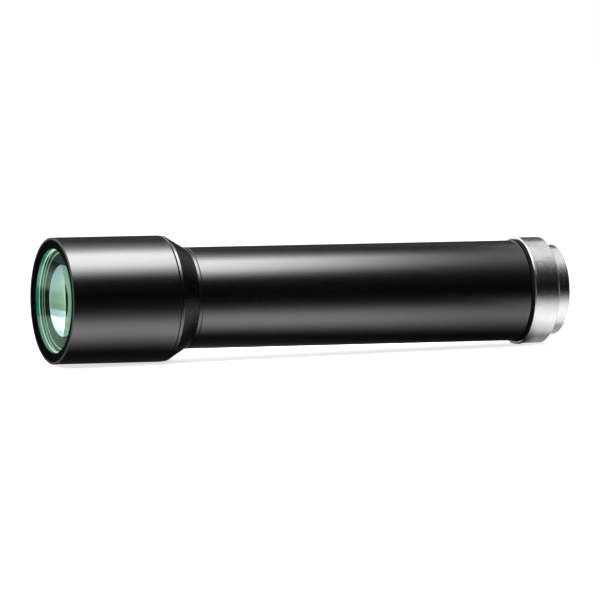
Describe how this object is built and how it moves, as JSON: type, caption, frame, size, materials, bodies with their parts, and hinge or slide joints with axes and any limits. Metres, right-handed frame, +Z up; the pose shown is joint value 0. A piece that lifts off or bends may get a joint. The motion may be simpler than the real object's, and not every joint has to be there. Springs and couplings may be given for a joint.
{
  "type": "machine vision lens",
  "caption": "Fixed telecentric lens for a machine vision camera: wide coated front glass, cone, long black barrel and a silver screw mount that turns on the barrel.",
  "frame": {"origin": "centre of the camera flange's seat, on the optical axis", "axes": "+X along the optical axis toward the camera, so the front glass looks along -X; +Z up as the lens lies in the picture"},
  "size_m": [0.1508, 0.0352, 0.0352],
  "materials": {
    "head_black": "black anodised, satin, fine blasted grain",
    "ring_black": "black anodised, semi-matte",
    "cone_black": "black anodised, satin",
    "neck_black": "black anodised, satin",
    "barrel_black": "black anodised, satin, fine blasted grain",
    "inner_black": "black anodised, matte",
    "seal_black": "matte black rubber",
    "mount_silver": "clear anodised, satin, fine blasted grain",
    "inner_silver": "turned, satin",
    "washer_bronze": "plain bronze",
    "front_glass": "polished, green and blue antireflection coating",
    "inner_glass": "polished, antireflection coating",
    "rear_glass": "polished, antireflection coating"
  },
  "bodies": {
    "mount": {"mount_ring": "mount_silver", "mount_retaining_ring": "inner_silver", "friction_washer": "washer_bronze", "seal_ring": "seal_black"},
    "barrel": {"front_housing": "head_black", "front_retaining_ring": "ring_black", "cone_collar": "cone_black", "neck_ring": "neck_black", "main_barrel": "barrel_black", "front_spacer": "inner_black", "front_baffle": "inner_black", "middle_baffle": "inner_black", "rear_baffle": "inner_black", "stop_holder": "inner_black", "aperture_stop": "inner_black", "stop_retaining_ring": "inner_black", "rear_cell": "inner_black", "rear_spacer": "inner_black", "rear_retaining_ring": "inner_black", "mount_bushing": "inner_black", "front_flint": "front_glass", "front_crown": "inner_glass", "front_collector": "inner_glass", "rear_singlet": "rear_glass", "rear_crown": "rear_glass", "rear_flint": "rear_glass"}
  },
  "joints": [
    {"name": "mount_rotation", "type": "hinge", "parent": "mount", "child": "barrel", "pos_m": [-0.0102, 0, 0], "axis": [1, 0, 0], "continuous": true}
  ]
}
